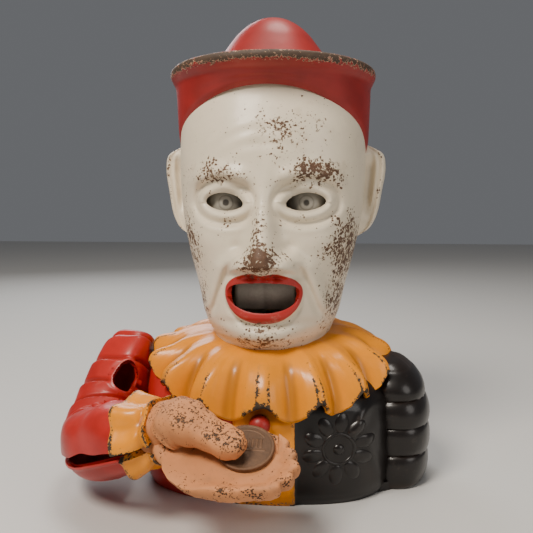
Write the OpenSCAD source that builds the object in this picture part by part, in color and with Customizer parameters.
// Mechanical bank: a cast bust with a swinging arm, rolling eyes and a falling tongue.
// Millimetres, +Z up, front of the bust towards -Y. z = 0 is the plane it stands on and
// y = 0 is the joint between the front and back castings, on which the arm axle lies.

/* [Bust] */
// Height of the chest and shoulders, from the base to the neck of the ruffle
torso_h = 50; // [44:0.5:64]
// Width of the chest
torso_w = 100; // [90:1:124]
// Depth of the chest in front of the casting joint
torso_front = 42; // [38:0.5:52]
// Depth of the back behind the casting joint
torso_back = 40; // [37:0.5:50]
// Height of the head, from the ruffle to the hat
head_h = 92; // [84:0.5:114]
// Width of the head at the eyes
head_w = 77; // [72:0.5:94]
// Depth of the face in front of the casting joint
face_front = 37; // [36:0.5:42]
// Depth of the head behind the casting joint
head_back = 42; // [38:0.5:52]
// Height of the hat above the head
hat_h = 48; // [40:0.5:60]
// Width of the hat across its rim
hat_w = 84; // [80:1:104]
// How far the left sleeve stands out from the chest
sleeve_out = 14; // [8:0.5:18]
// Thickness of the cast walls
wall = 3.2; // [2.6:0.1:4]

/* [Face] */
// Height of the eyes above the ruffle
eye_up = 64.5; // [62:0.5:68]
// Distance between the middles of the eyes
eye_gap = 31; // [30:0.5:34]
// Diameter of each eyeball
eye_d = 18; // [16:0.5:18.5]
// Height of the middle of the mouth above the ruffle
mouth_up = 30; // [28:0.5:32]
// Width of the mouth opening
mouth_w = 27; // [25:0.5:30]
// Height of the mouth opening
mouth_h = 11; // [9:0.5:12]

/* [Mechanism] */
// How far the arm swings
arm_swing = 45; // [38:1:48]
// How far the eyes roll while the arm makes its whole swing
eye_swing = 25; // [20:1:30]
// Diameter of the arm axle
axle_d = 6; // [5:0.1:7.2]
// Length of the crank arm that the lever drives
drive_r = 16; // [14:0.5:16.5]
// Length of the eye arm behind the eyes
eye_r = 13; // [11.5:0.1:15]
// Length of the tongue pin's arm below the eyes
tail_r = 15.2; // [14.4:0.1:15.8]
// Distance of the lever pivot behind the arm axle
lever_back = 28; // [26:0.5:29]
// Diameter of the lever pin
lever_pin_d = 4; // [3:0.1:4.8]
// Diameter of the eye rod and of the tongue axle
rod_d = 3.6; // [3:0.1:4.3]
// Diameter of the small pins in the cranks
pin_d = 2.5; // [2:0.1:3]
// Diameter of the drive pin between crank and lever
drive_pin_d = 4; // [3.4:0.1:4.8]
// Thickness of the cranks and of the lever
plate = 4; // [3.4:0.1:4]
// Diameter of the link wire
wire_d = 2; // [1.6:0.1:2]

/* [Coin and hand] */
// Diameter of the coin
coin_d = 19.05; // [16:0.05:22.86]
// Thickness of the coin
coin_t = 1.5; // [1:0.05:1.9]
// How far the coin's middle is in front of the arm axle
coin_out = 72; // [70:0.5:76]
// Height of the coin's middle above the base
coin_z = 34; // [32:0.5:37]
// Tilt of the palm towards the front
palm_tilt = 29; // [25:1:32]
// How far the coin can slide off the palm towards the mouth
coin_travel = 14; // [10:0.5:16]

/* [Base and fasteners] */
// Thickness of the base plate
base_t = 3.5; // [3.2:0.1:4.2]
// Diameter of the coin trap's hole
trap_d = 27; // [24:0.5:32]
// Distance of the coin trap behind the casting joint
trap_back = 13; // [11:0.5:14]
// Diameter of the body screws
screw_d = 4; // [3.2:0.1:4.8]
// Diameter of the base plate screws
base_screw_d = 3; // [2.5:0.1:3.6]

/* [Fits] */
// Gap between parts that stand beside each other
gap = 0.4; // [0.35:0.01:0.5]
// Radial clearance of a pin that turns in a bore
run = 0.05; // [0.03:0.01:0.09]
// Radial clearance of a pin in a slot or an open link end
loose = 0.35; // [0.3:0.01:0.4]

/* [Hidden] */

red = "firebrick"; yellow = "darkorange"; black = "#2b2320"; skin = "#d08c60";
cols = 24;                               // facets round each half of the bust
hw = torso_w / 2;
axle_z = torso_h - 3;                    // height of the arm axle
axle_r = axle_d / 2;
eye_z = torso_h + eye_up;
eye_y = -(face_front - 17);              // eye rod, behind the face
mouth_z = torso_h + mouth_up;
tongue_z = eye_z - 21.5;                 // tongue axle below the eye rod
arm_x = -(hw + 3);                       // inner side of the arm
hat_z = torso_h + head_h;                // where the hat meets the sides of the head
top_z = hat_z + hat_h;

// crank planes, from the middle outwards
rib_x = [5, 9];
link_x = [9 + gap + 0.6, 9 + gap + 5.6]; // link pin reaches from the crank towards the middle
crank_x = link_x[1];                     // inner side of the crank
lever_x = crank_x + plate + 1;           // inner side of the lever
lug_t = 2.4;

// directions in the Y-Z plane: 0 is towards the front, positive is up
function turn(a, v) = [v[0] * cos(a) + v[1] * sin(a), -v[0] * sin(a) + v[1] * cos(a)];
function unit(v) = v / norm(v);
A = [0, axle_z];
B = [lever_back, axle_z + 4];
E = [eye_y, eye_z];
T = [eye_y, tongue_z];
// the drive pin is on the line from lever pivot to axle at mid swing
drive_mid = unit(A - B);
drive_dir = turn(-arm_swing / 2, drive_mid);
D = A + drive_r * drive_dir;             // drive pin at rest
lever_mid = norm(A - B) + drive_r;
lever_dir = unit(D - B);
// link cranks are square to the link at mid swing
link_r = eye_r * eye_swing / arm_swing;
AE = E - A;
tang = (link_r - eye_r) / norm(AE);
link_mid = tang * unit(AE) + sqrt(1 - tang * tang) * unit([AE[1], -AE[0]]);
link_dir = turn(-arm_swing / 2, link_mid);
eye_dir = turn(-eye_swing / 2, link_mid);
L = A + link_r * link_dir;               // link pin at rest
P = E + eye_r * eye_dir;                 // eye arm pin at rest
// tail of the eye crank drives the tongue, straddling the line of centres
tail_back = [-turn(eye_swing / 2, [0, -1])[0], turn(eye_swing / 2, [0, -1])[1]];
Q = E + tail_r * tail_back;              // tail pin at rest

// ---------- cast shells ----------
function spow(v, p) = sign(v) * pow(abs(v), p);
// stations of the bust, each: height at side, front, back; half-width, front depth, back depth;
// squareness; sleeve; nose; and the inside's drop and inset in walls
function zr(v) = v * torso_h / 50;
chest_n = 2.5;                           // squareness of the chest's outline
// outside of the chest wall at x, as a share of its depth in the middle
function chest_share(x) = pow(1 - pow(abs(x) / hw, chest_n), 1 / chest_n);
function torso_rows() = [for (k = [0:7]) let (z = 42 * k / 7)
  [zr(z), zr(z * 0.857), zr(z), hw * (k == 7 ? 0.98 : 1), torso_front, torso_back, chest_n,
   sleeve_out * (k % 2 == 0 ? 0.8 : 1) * (k == 0 ? 1.05 : k == 7 ? 0.85 : 1), 0, 0, 1]];
function collar_rows() = let (f = torso_front, b = torso_back, z = torso_h) [
  [z - 4, z - 12.5, z - 4, hw - 3.5, f - 1, b - 0.5, 2.4, sleeve_out * 0.62, 0, 0, 0.85],
  [z - 3.2, z - 11.4, z - 3, hw, f + 4.5, b + 5, 2.3, sleeve_out * 0.5, 0, -0.3, 1.45],
  [z + 0.5, z - 7, z + 1, hw + 0.5, f + 6, b + 6, 2.2, sleeve_out * 0.1, 0, 0.4, 1.7],
  [z + 5, z, z + 6, hw - 5, f + 1.5, b + 2, 2.2, 0, 0, 0.9, 1.4],
  [z + 9, z + 6, z + 10, head_w / 2 - 2.5, face_front, head_back - 6, 2.1, 0, 0, 0.8, 1.05],
  [z + 11, z + 7.5, z + 13, head_w / 2 - 6.5, face_front - 3, head_back - 9, 2, 0, 0, 0.3, 1]];
// face and head heights are set from the mouth and eyes, and the rest of the head takes up the height
function head_rows() = let (a = head_w / 2, f = face_front, b = head_back, z = torso_h,
    m = mouth_z, e = eye_z, u = hat_z - e) [
  [z + 14, z + 10, z + 17, a - 10.5, f - 0.5, b - 9, 2.1, 0, 0, 0, 1],
  [z + 20, z + 16, z + 22, a - 10, f + 2.5, b - 7, 2.2, 0, 0, 0, 1],
  [m, m, m, a - 8, f + 3, b - 4, 2.2, 0, 0, 0, 1],
  [m + 6.5, m + 6.5, m + 6.5, a - 6, f + 2.5, b - 3, 2.2, 0, 3, 0, 1],
  [m + 10, m + 10, m + 10, a - 4.5, f + 2, b - 2, 2.2, 0, 11, 0, 1],
  [e - 14.5, e - 14.5, e - 14.5, a - 2, f + 1.5, b - 0.5, 2.2, 0, 8.5, 0, 1],
  [e - 6.5, e - 6.5, e - 6.5, a - 1, f, b, 2.2, 0, 5.5, 0, 1],
  [e, e, e, a - 0.3, f - 0.8, b, 2.2, 0, 3, 0, 1],
  [e + 7.5, e + 7.5, e + 7.5, a, f + 0.5, b, 2.2, 0, 0, 0, 1],
  [e + u * 0.58, e + u * 0.62, e + u * 0.58, a - 0.2, f, b - 0.5, 2.2, 0, 0, 0, 1],
  [e + u * 0.88, e + u * 1.1, e + u * 0.9, a - 1, f - 1.5, b - 1, 2.1, 0, 0, 0, 1]];
function hat_rows() = let (r = hat_w / 2, f = face_front, b = head_back, z = hat_z, h = hat_h) [
  [z + 3, z + 14.5, z + 7, head_w / 2 - 2, f - 3.5, b - 2.5, 2.1, 0, 0, 0.3, 1],
  [z + 8, z + 17.5, z + 11, r - 2.5, f + 0.5, b + 1, 2, 0, 0, 0.3, 1.9],
  [z + 21, z + 23.5, z + 21, r, f + 4, b + 3, 2, 0, 0, 2.5, 2.8],
  [z + 24, z + 26, z + 24, r - 1, f + 3, b + 2, 2, 0, 0, 2.72, 2.97],
  [z + 23, z + 24.5, z + 23, r - 4, f, b - 1, 2, 0, 0, 2.13, 2.66],
  [z + 19.5, z + 20.5, z + 19.5, r - 11, f - 7, b - 9, 2, 0, 0, 0.9, 1.19],
  [z + 22, z + 22.5, z + 22, r - 14, f - 9.5, b - 13, 2, 0, 0, 0.8, 1],
  [z + h * 0.625, z + h * 0.625, z + h * 0.625, r * 0.53, f - 14.5, b - 19.5, 2, 0, 0, 0.4, 1],
  [z + h * 0.8, z + h * 0.8, z + h * 0.8, r * 0.42, f * 0.49, b * 0.43, 2, 0, 0, 0.5, 1],
  [z + h * 0.92, z + h * 0.92, z + h * 0.92, r * 0.29, f * 0.34, b * 0.3, 2, 0, 0, 0.75, 0.95],
  [z + h * 0.985, z + h * 0.985, z + h * 0.985, r * 0.13, f * 0.15, b * 0.13, 2, 0, 0, 0.95, 0.6]];
rows = concat(torso_rows(), collar_rows(), head_rows(), hat_rows());

// how much of the sleeve stands out at the angle t from its middle
function swell(t) = t < 16 ? 1 : t > 46 ? 0 : 0.5 + 0.5 * cos((t - 16) * 6);
// one point of a half ring: s is -1 for the front and 1 for the back, t runs from +X round to -X
function rim(r, s, t, inner) =
  let (k = inner ? wall * r[10] : 0, n = r[6], a = r[3] - k, d = (s < 0 ? r[4] : r[5]) - k,
       bulge = r[7] * swell(t),
       nose = s < 0 ? (inner ? 0.5 : 1) * r[8] * max(0, 1 - pow((t - 90) / 15, 2)) : 0,
       zm = s < 0 ? r[1] : r[2])
  [a * spow(cos(t), 2 / n) + bulge, s * (d * spow(sin(t), 2 / n) + nose),
   r[0] + (zm - r[0]) * sin(t) - (inner ? wall * r[9] : 0)];

function quad(a, b, c, d) = [[a, b, c], [a, c, d]];
function turned(faces, flip) = flip ? [for (f = faces) [f[2], f[1], f[0]]] : faces;
// faces of a thin shell: R rows of C + 1 points outside, the same inside, then two apexes
function shell_faces(R, C, flip) = let (W = C + 1, n = R * W, o = 2 * n, i = 2 * n + 1, z = (R - 1) * W)
  turned(concat(
    [for (r = [0:R - 2], j = [0:C - 1], f = quad(r * W + j, r * W + j + 1, r * W + W + j + 1, r * W + W + j)) f],
    [for (r = [0:R - 2], j = [0:C - 1], f = quad(n + r * W + j + 1, n + r * W + j, n + r * W + W + j, n + r * W + W + j + 1)) f],
    [for (j = [0:C - 1], f = quad(j + 1, j, n + j, n + j + 1)) f],
    [for (j = [0:C - 1]) [z + j, z + j + 1, o]],
    [for (j = [0:C - 1]) [n + z + j + 1, n + z + j, i]],
    [for (r = [0:R - 2], f = quad(r * W, r * W + W, n + r * W + W, n + r * W)) f],
    [for (r = [0:R - 2], f = quad(r * W + W + C, r * W + C, n + r * W + C, n + r * W + W + C)) f],
    quad(z, o, i, n + z), quad(o, z + C, n + z + C, i)), flip);

module half_shell(s) {
  R = len(rows);
  polyhedron(points = concat(
      [for (r = rows, j = [0:cols]) rim(r, s, 180 * j / cols, false)],
      [for (r = rows, j = [0:cols]) rim(r, s, 180 * j / cols, true)],
      [[0, 0, top_z], [0, 0, top_z - wall]]),
    faces = shell_faces(R, cols, s > 0), convexity = 12);
}
// outline of the opening inside the shell at the base, s as above
function base_outline(s, inset) = [for (j = [0:cols])
  let (r = rows[0], t = 180 * j / cols, n = r[6], a = r[3] - inset, d = (s < 0 ? r[4] : r[5]) - inset,
       bulge = r[7] * swell(t))
  [a * spow(cos(t), 2 / n) + bulge, s * d * spow(sin(t), 2 / n)]];

module bar_x(x0, x1, r, at, fn = 48) translate([x0, at[0], at[1]]) rotate([0, 90, 0]) cylinder(h = x1 - x0, r = r, $fn = fn);
module bar_y(y0, y1, r, x, z, fn = 48) translate([x, y0, z]) rotate([-90, 0, 0]) cylinder(h = y1 - y0, r = r, $fn = fn);
module half_space(s) translate([-150, s < 0 ? -150 : 0, -10]) cube([300, 150, 300]);

// ---------- where the fasteners are ----------
screw_r = screw_d / 2;
boss_r = screw_r + 3.4;
body_at = [[-30, 22], [30, 22], [0, hat_z + 8]];
pad_y = [torso_back - 4.5, torso_back - 4.5, head_back - 1.5];     // seats of the screw heads
grip_y = [torso_front - 17, torso_front - 17, face_front - 14];    // how far the threads reach
// how far the bosses reach forward: into the wall, short of its outside
chest_boss = torso_front * chest_share(body_at[1][0] + boss_r) - 0.23 * wall;
boss_y = [chest_boss, chest_boss, face_front - 4];
bs_r = base_screw_d / 2;
post_r = bs_r + 3.2;
front_post = [[0, -(torso_front - wall - 4)]];
// the posts at the back lean into the inside of the wall, wherever the width puts it
back_post_y = torso_back * chest_share(27 + 0.7 * post_r) - wall - 0.758 * post_r;
back_post = [[-27, back_post_y], [27, back_post_y]];
post_h = 9;
eye_rod_x = head_w / 2 - 8.3;             // the rods end inside the walls of the face
tongue_rod_x = head_w / 2 - 11.4;

module front_casting() color(red) difference() {
  union() {
    half_shell(-1);
    // axle boss, half of it
    intersection() { bar_x(-(hw + 2.4), -(hw - 5.5), axle_r + 3, A); half_space(-1); }
    // bosses for the eye rod and the tongue axle
    for (s = [-1, 1]) {
      bar_x(s > 0 ? eye_gap / 2 + eye_d / 2 + gap + 0.2 : -(head_w / 2 - 7.5), s > 0 ? head_w / 2 - 7.5 : -(eye_gap / 2 + eye_d / 2 + gap + 0.2), rod_d / 2 + 2, E);
      bar_x(s > 0 ? mouth_w / 2 + 1.5 : -(head_w / 2 - 10.5), s > 0 ? head_w / 2 - 10.5 : -(mouth_w / 2 + 1.5), rod_d / 2 + 2, T);
    }
    for (k = [0:2]) bar_y(-boss_y[k], 0, boss_r, body_at[k][0], body_at[k][1]);
    for (p = front_post) translate([p[0], p[1], base_t]) cylinder(h = post_h, r = post_r, $fn = 48);
  }
  bar_x(-(hw + 10), 0, axle_r + run, A);
  bar_x(-eye_rod_x, eye_rod_x, rod_d / 2 + run, E);
  bar_x(-tongue_rod_x, tongue_rod_x, rod_d / 2, T);
  // mouth
  translate([0, -face_front + 12, mouth_z]) rotate([90, 0, 0]) linear_extrude(30) hull() for (s = [-1, 1]) translate([s * (mouth_w - mouth_h) / 2, 0]) circle(d = mouth_h, $fn = 48);
  // eye openings
  for (s = [-1, 1]) translate([s * eye_gap / 2, -face_front + 18, eye_z]) rotate([90, 0, 0]) linear_extrude(30)
    polygon([for (k = [0:23]) [6.5 * cos(k * 15), 3.5 * sin(k * 15)]]);
  for (k = [0:2]) bar_y(-grip_y[k], 1, screw_r, body_at[k][0], body_at[k][1]);
  for (p = front_post) translate([p[0], p[1], base_t - 1]) cylinder(h = post_h - 1, r = bs_r, $fn = 48);
}

function ear_outline() = concat([[0, -16]],
  [for (k = [0:12]) let (t = -80 + 13 * k) [10 * pow(cos(t), 0.7), 19 * sin(t) + (k > 6 ? 1 : 0)]], [[0, 17]]);

module back_casting() color(red) difference() {
  union() {
    half_shell(1);
    intersection() { bar_x(-(hw + 2.4), -(hw - 5.5), axle_r + 3, A); half_space(1); }
    // ears
    for (s = [0, 1]) mirror([s, 0, 0]) translate([head_w / 2 - 2.4, 8, eye_z + 4.5]) rotate([0, 0, 24]) rotate([90, 0, 0]) linear_extrude(4.6) polygon(ear_outline());
    // bearing rib of the axle, standing in from the back wall
    translate([rib_x[0], 0, axle_z - axle_r - 4]) cube([rib_x[1] - rib_x[0], torso_back - 2, 2 * axle_r + 8]);
    bar_x(rib_x[0], rib_x[1], axle_r + 4, A);
    // lugs of the lever
    for (x = [lever_x - 0.6 - lug_t, lever_x + plate + 0.6]) {
      translate([x, lever_back, B[1] - 5]) cube([lug_t, torso_back - 5.5 - lever_back, 10]);
      bar_x(x, x + lug_t, 5, B);
    }
    for (k = [0:2]) bar_y(0, pad_y[k], boss_r, body_at[k][0], body_at[k][1]);
    for (p = back_post) translate([p[0], p[1], base_t]) cylinder(h = post_h, r = post_r, $fn = 48);
  }
  bar_x(-(hw + 10), rib_x[1] + 1, axle_r + run, A);
  bar_x(lever_x - 6, lever_x + plate + 6, lever_pin_d / 2, B);
  // slot for the lever
  translate([lever_x - 0.6, lever_back - 7, axle_z - 13]) cube([plate + 1.2, torso_back - lever_back + 19, 24]);
  for (k = [0:2]) {
    bar_y(-1, 60, screw_r + 0.3, body_at[k][0], body_at[k][1]);
    bar_y(pad_y[k], 60, screw_r + 2 + gap, body_at[k][0], body_at[k][1]);
  }
  for (p = back_post) translate([p[0], p[1], base_t - 1]) cylinder(h = post_h - 1, r = bs_r, $fn = 48);
}

// ---------- base and coin trap ----------
trap_r = trap_d / 2;
rim_h = base_t / 2;                      // height of the step that the trap's flange sits in
module countersink(p) { translate([p[0], p[1], -1]) cylinder(h = base_t + 2, r = bs_r + 0.25, $fn = 48);
  translate([p[0], p[1], -0.01]) cylinder(h = 1.8, r1 = bs_r + 2.2, r2 = bs_r + 0.4, $fn = 48); }
module base_plate() color("#3b3430") difference() {
  linear_extrude(base_t) polygon(concat(base_outline(-1, wall + gap), [for (j = [1:cols - 1]) base_outline(1, wall + gap)[cols - j]]));
  translate([0, trap_back, -1]) cylinder(h = base_t + 2, r = trap_r + gap, $fn = 96);
  translate([0, trap_back, -1]) cylinder(h = 1 + rim_h, r = trap_r + 2.2 + gap, $fn = 96);
  translate([-4 - gap, trap_back - trap_r - 4.2, -1]) cube([8 + 2 * gap, 2 * trap_r + 8.4, base_t + 2]);
  for (p = concat(front_post, back_post)) countersink(p);
}
module trap_cover() color("#3b3430") translate([0, trap_back, 0]) difference() {
  union() {
    cylinder(h = base_t + gap, r = trap_r, $fn = 96);
    translate([0, 0, 0]) cylinder(h = rim_h - gap, r = trap_r + 2.2, $fn = 96);
  }
  // two finger wells leave a grip across the middle
  for (s = [0, 180]) rotate([0, 0, s]) translate([0, 0, -1]) linear_extrude(1 + base_t * 0.55) intersection() {
    circle(r = trap_r - 2.5, $fn = 96);
    translate([-trap_r, 2]) square([2 * trap_r, trap_r]);
  }
  cylinder(h = 20, r = pin_d / 2, center = true, $fn = 48);
}
latch_t = 1.6;
module trap_latch() color("#6b6560") translate([0, trap_back, base_t + gap]) difference() {
  linear_extrude(latch_t) intersection() {
    square([2 * trap_r + 7, 7.2], center = true);
    circle(r = trap_r + 3.4, $fn = 96);
  }
  translate([0, 0, -1]) cylinder(h = latch_t + 2, r = pin_d / 2, $fn = 48);
}
module trap_rivet() color("#6b6560") translate([0, trap_back, 0]) {
  translate([0, 0, 0.4]) cylinder(h = base_t + gap + latch_t, r = pin_d / 2, $fn = 48);
  translate([0, 0, base_t + gap + latch_t]) cylinder(h = 1, r = pin_d / 2 + 1.2, $fn = 48);
}

// ---------- screws ----------
module slotted_screw(r, head_r, head_h, length) difference() {
  union() { cylinder(h = length, r = r, $fn = 48); translate([0, 0, length]) cylinder(h = head_h, r = head_r, $fn = 48); }
  translate([-head_r - 1, -0.5, length + head_h - 1]) cube([2 * head_r + 2, 1, 2]);
}
module body_screws() color("#8a8580") for (k = [0:2])
  translate([body_at[k][0], -grip_y[k] + 1, body_at[k][1]]) rotate([-90, 0, 0])
    slotted_screw(screw_r, screw_r + 2, 2.2, pad_y[k] + grip_y[k] - 1);
module base_screws() color("#8a8580") for (p = concat(front_post, back_post)) translate([p[0], p[1], 0]) difference() {
  union() { translate([0, 0, 0.3]) cylinder(h = 1.4, r1 = bs_r + 1.8, r2 = bs_r + 0.25, $fn = 48); translate([0, 0, 0.4]) cylinder(h = base_t + post_h - 3, r = bs_r, $fn = 48); }
  translate([-5, -0.4, 0]) cube([10, 0.8, 0.9]);
}

// ---------- arm ----------
// stations from wrist to shoulder: place, half-width, half-height
arm_keys = [[-33, -(coin_out - 11), coin_z + 0.5, 9, 8], [-43, -(coin_out - 15), coin_z - 2.5, 12.5, 12.5], [arm_x - 1, -50, 27, 14, 13.8],
  [arm_x - 10, -40, 21.5, 14.5, 13.8], [arm_x - 15.5, -27, 20, 14, 13.8], [arm_x - 16, -15, 27, 13, 13.5], [arm_x - 13.5, -6, axle_z - 9.5, 12, 13],
  [arm_x - 10.5, 1, axle_z - 0.5, 10.5, 12], [arm_x - 8, 6, axle_z + 4, 7.5, 8]];
arm_end = [arm_x - 6.5, 9, axle_z + 6.5];
function catmull(a, b, c, d, t) = 0.5 * ((2 * b) + (c - a) * t + (2 * a - 5 * b + 4 * c - d) * t * t + (3 * b - a - 3 * c + d) * t * t * t);
function smooth_path(k, m) = let (n = len(k)) concat([for (i = [0:n - 2], j = [0:m - 1])
  catmull(k[max(0, i - 1)], k[i], k[i + 1], k[min(n - 1, i + 2)], j / m)], [k[n - 1]]);
arm_path = smooth_path(arm_keys, 2);
arm_seg = 10;
function spot(v) = [v[0], v[1], v[2]];
function tube_point(p, i, a, inset) = let (n = len(p), q = p[i],
    t = unit(spot(p[min(n - 1, i + 1)]) - spot(p[max(0, i - 1)])), s = unit(cross(t, [0, 0, 1])), u = cross(s, t))
  spot(q) + s * ((q[3] - inset) * spow(cos(a), 0.85)) + u * ((q[4] - inset) * spow(sin(a), 0.85));
arm_wall = 2.6;
// half of the hollow arm: half 0 is the upper casting and half 1 the lower
module arm_half(half) {
  R = len(arm_path);
  polyhedron(points = concat(
      [for (i = [0:R - 1], j = [0:arm_seg]) tube_point(arm_path, i, 180 * half + 180 * j / arm_seg, 0)],
      [for (i = [0:R - 1], j = [0:arm_seg]) tube_point(arm_path, i, 180 * half + 180 * j / arm_seg, arm_wall)],
      [arm_end, arm_end + unit(spot(arm_keys[8]) - arm_end) * arm_wall * 1.4]),
    faces = shell_faces(R, arm_seg, false), convexity = 8);
}
// frame of the palm: origin at the coin's middle, X to the fingertips, Y up the slope, Z out of the coin
module palm_frame() translate([-2, -coin_out, coin_z]) rotate([palm_tilt, 0, 0]) children();
palm_t = 4.6;
palm_top = -coin_t / 2 - 0.3;            // face of the palm, just under the coin
thumb_low = coin_t / 2 + gap;            // underside of the thumb over the coin
// place of each rivet, its foot, the seam's height there and its top
rivet_at = [[arm_x - 15, -28, 7, 20, 33], [arm_x - 1, -50, 14, 27, 40]];
rivet_r = 2;
module arm_upper_casting() color(red) difference() {
  union() {
    difference() {
      arm_half(0);
      arm_split();
    }
    // shoulder hub on the axle
    bar_x(arm_x - 12, arm_x, axle_r + 3.4, A);
    // thumb, from the wrist over the coin
    palm_frame() hull() {
      translate([-35, 9, thumb_low + 6]) sphere(6, $fn = 24);
      translate([-24, 7, thumb_low + 5.4]) sphere(5.4, $fn = 24);
    }
    palm_frame() hull() {
      translate([-24, 7, thumb_low + 5.4]) sphere(5.4, $fn = 24);
      translate([-3, -4, thumb_low + 4]) sphere(4, $fn = 24);
    }
    for (p = rivet_at) translate([p[0], p[1], p[3] + 1]) cylinder(h = p[4] - p[3] - 2, r = rivet_r + 2, $fn = 32);
  }
  bar_x(arm_x - 13.5, 0, axle_r, A);
  for (p = rivet_at) translate([p[0], p[1], -5]) cylinder(h = 60, r = rivet_r, $fn = 32);
  translate([arm_x - 6, A[0] - 30, A[1]]) rotate([-90, 0, 0]) cylinder(h = 60, r = pin_d / 2, $fn = 32);
  // nothing of the arm reaches into the bust
  translate([arm_x, -torso_front + 2, 0]) cube([60, 70, 90]);
}
// space between the halves at the hand
module arm_split() palm_frame() translate([-44, -30, palm_top - palm_t - 1]) cube([74, 60, palm_t + 1 - palm_top + gap]);
module palm_outline() {
  translate([3, -6]) circle(11, $fn = 48);
  translate([-12, -3]) circle(12, $fn = 48);
  for (k = [0:3]) translate([11.5 + (k == 0 || k == 3 ? -2 : 0), 7.5 - 6.2 * k]) circle(4.4, $fn = 32);
}
module arm_lower_casting() color(red) difference() {
  union() {
    difference() {
      arm_half(1);
      palm_frame() translate([-60, -30, palm_top]) cube([90, 60, 30]);
    }
    palm_frame() translate([0, 0, palm_top - palm_t]) linear_extrude(palm_t) union() {
      circle(d = coin_d + 4, $fn = 64);
      palm_outline();
      translate([-40, -3]) square([40, 14]);
    }
    // raised lip round the front of the palm
    palm_frame() translate([0, 0, palm_top - palm_t]) linear_extrude(palm_t + 2.6) difference() {
      palm_outline();
      circle(d = coin_d + 2 * gap + 0.6, $fn = 64);
      translate([-24 - coin_d / 2, -2]) square([coin_d + 24 + gap + 0.3, 40]);
    }
    for (p = rivet_at) translate([p[0], p[1], p[2]]) cylinder(h = p[3] - p[2] - 1, r = rivet_r + 2, $fn = 32);
  }
  for (p = rivet_at) translate([p[0], p[1], -5]) cylinder(h = 60, r = rivet_r, $fn = 32);
  bar_x(arm_x - 40, 0, axle_r + 3.4, A);
  translate([arm_x, -torso_front + 2, 0]) cube([60, 70, 90]);
}
module arm_rivets() color("#6b6560") for (p = rivet_at) {
  translate([p[0], p[1], p[2] - 0.6]) cylinder(h = p[4] - p[2] + 1.2, r = rivet_r, $fn = 32);
}
module arm_axle() color("#8a8580") difference() {
  bar_x(arm_x - 12, crank_x + plate, axle_r, A);
  bar_y(-10, 10, pin_d / 2, arm_x - 6, axle_z, 32);
  bar_y(-10, 10, 0.8, crank_x + plate / 2, axle_z, 32);
}
module shoulder_pin() color("#8a8580") bar_y(-(axle_r + 3), axle_r + 3, pin_d / 2, arm_x - 6, axle_z, 32);

// ---------- mechanism ----------
module stadium_x(x, t, p, q, r1, r2) translate([x, 0, 0]) rotate([90, 0, 90]) linear_extrude(t) hull() {
  translate(p) circle(r1, $fn = 48); translate(q) circle(r2, $fn = 48); }
module slot_x(x, t, p, q, r) translate([x, 0, 0]) rotate([90, 0, 90]) linear_extrude(t) hull() {
  translate(p) circle(r, $fn = 48); translate(q) circle(r, $fn = 48); }

module arm_crank() color("#57504a") difference() {
  union() {
    stadium_x(crank_x, plate, A, D, axle_r + 3.2, drive_pin_d / 2 + 2.2);
    stadium_x(crank_x, plate, A, L, axle_r + 3.2, pin_d / 2 + 2);
  }
  bar_x(crank_x - 1, crank_x + plate + 1, axle_r, A);
  bar_x(crank_x - 1, crank_x + plate + 1, drive_pin_d / 2, D);
  bar_x(crank_x - 1, crank_x + plate + 1, pin_d / 2, L);
  bar_y(-10, 10, 0.8, crank_x + plate / 2, axle_z, 32);
}
module crank_pin() color("#8a8580") bar_y(-(axle_r + 2.6), axle_r + 2.6, 0.8, crank_x + plate / 2, axle_z, 32);
module drive_pin() color("#8a8580") bar_x(crank_x, lever_x + plate + 1.6, drive_pin_d / 2, D);
module link_pin() color("#8a8580") { bar_x(link_x[0], crank_x + plate, pin_d / 2, L); bar_x(link_x[0], link_x[0] + 0.8, pin_d / 2 + 0.9, L); }

lever_slot = [norm(D - B), lever_mid];
pad_at = [torso_back + 17, axle_z + 3.5];
module lever() color("#2b2320") difference() {
  union() {
    stadium_x(lever_x, plate, B, B + lever_dir * (lever_mid + 1), lever_pin_d / 2 + 3, drive_pin_d / 2 + loose + 1.6);
    stadium_x(lever_x, plate, B, pad_at, lever_pin_d / 2 + 3, 2.6);
    // thumb pad
    translate([lever_x + plate / 2 - 6, pad_at[0] - 5, pad_at[1] - 0.4]) cube([12, 10, 3]);
  }
  bar_x(lever_x - 1, lever_x + plate + 1, lever_pin_d / 2 + run, B);
  slot_x(lever_x - 1, plate + 2, B + lever_dir * (lever_slot[0] - 0.2), B + lever_dir * (lever_slot[1] + 0.3), drive_pin_d / 2 + loose);
}
module lever_pin() color("#8a8580") bar_x(lever_x - 0.6 - lug_t - 0.6, lever_x + plate + 0.6 + lug_t + 0.6, lever_pin_d / 2, B);

wire_x = link_x[0] + 0.8 + gap + wire_d / 2;
ring_o = pin_d / 2 + loose + wire_d;
module eye_link() color("#8a8580") difference() {
  union() {
    for (c = [L, P]) bar_x(wire_x - wire_d / 2, wire_x + wire_d / 2, ring_o + 0.1, c);
    translate([wire_x, L[0], L[1]]) rotate([-atan2(P[0] - L[0], P[1] - L[1]), 0, 0]) translate([0, 0, ring_o - 1]) cylinder(h = norm(P - L) - 2 * ring_o + 2, r = wire_d / 2, $fn = 32);
  }
  bar_x(wire_x - 3, wire_x + 3, pin_d / 2 + run, L);
  bar_x(wire_x - 3, wire_x + 3, pin_d / 2 + loose + 0.1, P);
}

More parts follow.
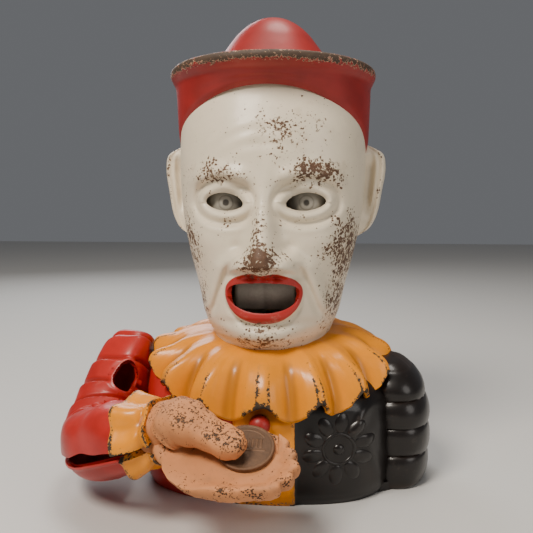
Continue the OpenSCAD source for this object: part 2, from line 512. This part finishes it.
hub_x = [0, eye_gap / 2 - eye_d / 2 - gap];
module eyeball(s) difference() {
  translate([s * eye_gap / 2, E[0], E[1]]) sphere(d = eye_d, $fn = 64);
  bar_x(s * eye_gap / 2 - eye_d, s * eye_gap / 2 + eye_d, rod_d / 2, E);
}
module right_eye() color("#d9d3c8") eyeball(-1);
module left_eye() color("#d9d3c8") eyeball(1);
module eye_rod() color("#8a8580") bar_x(-eye_rod_x + 0.2, eye_rod_x - 0.2, rod_d / 2, E);
module eye_crank() color("#57504a") difference() {
  union() {
    stadium_x(hub_x[0], hub_x[1] - hub_x[0], E, P, rod_d / 2 + 2.4, pin_d / 2 + 1.8);
    stadium_x(hub_x[0], 3, E, Q, rod_d / 2 + 2.4, pin_d / 2 + 1.3);
  }
  bar_x(-2, 12, rod_d / 2, E);
  bar_x(-2, 12, pin_d / 2, P);
  bar_x(-2, 12, pin_d / 2, Q);
}
module eye_pin() color("#8a8580") { bar_x(hub_x[0], wire_x + wire_d / 2 + gap, pin_d / 2, P); bar_x(wire_x + wire_d / 2 + gap, wire_x + wire_d / 2 + gap + 0.8, pin_d / 2 + 0.9, P); }
module tail_pin() color("#8a8580") bar_x(-4.4, 3, pin_d / 2, Q);

ear_x = [-3.8, -0.6];
ear_dir = unit(Q - T);
module tongue() color("#9a938a") difference() {
  union() {
    // the flap, curved towards the mouth
    translate([-mouth_w / 2 + 1.5, 0, 0]) rotate([90, 0, 90]) linear_extrude(mouth_w - 3) polygon(concat(
      [for (k = [0:8]) T + [-1 - 8.6 * sin(k * 20) - 0.42 * k, 1 - 2.6 * k]],
      [for (k = [8:-1:0]) T + [3 - 7.2 * sin(k * 20) - 0.42 * k, -0.5 - 2.5 * k]]));
    bar_x(-mouth_w / 2 + 1.5, mouth_w / 2 - 1.5, rod_d / 2 + 1.5, T);
    stadium_x(ear_x[0], ear_x[1] - ear_x[0], T, T + ear_dir * 8, rod_d / 2 + 1.5, pin_d / 2 + 1.9);
  }
  bar_x(-20, 20, rod_d / 2 + run, T);
  slot_x(ear_x[0] - 1, ear_x[1] - ear_x[0] + 2, T + ear_dir * 6.0, T + ear_dir * 14, pin_d / 2 + loose);
}
module tongue_axle() color("#8a8580") bar_x(-tongue_rod_x, tongue_rod_x, rod_d / 2, T);

module coin() color("#7a5638") palm_frame() cylinder(h = coin_t, d = coin_d, center = true, $fn = 96);

front_casting();
back_casting();
base_plate();
body_screws();
base_screws();
trap_cover();
trap_latch();
trap_rivet();
arm_upper_casting();
arm_lower_casting();
arm_rivets();
arm_axle();
shoulder_pin();
arm_crank();
crank_pin();
drive_pin();
link_pin();
lever();
lever_pin();
eye_link();
right_eye();
left_eye();
eye_rod();
eye_crank();
eye_pin();
tail_pin();
tongue();
tongue_axle();
coin();
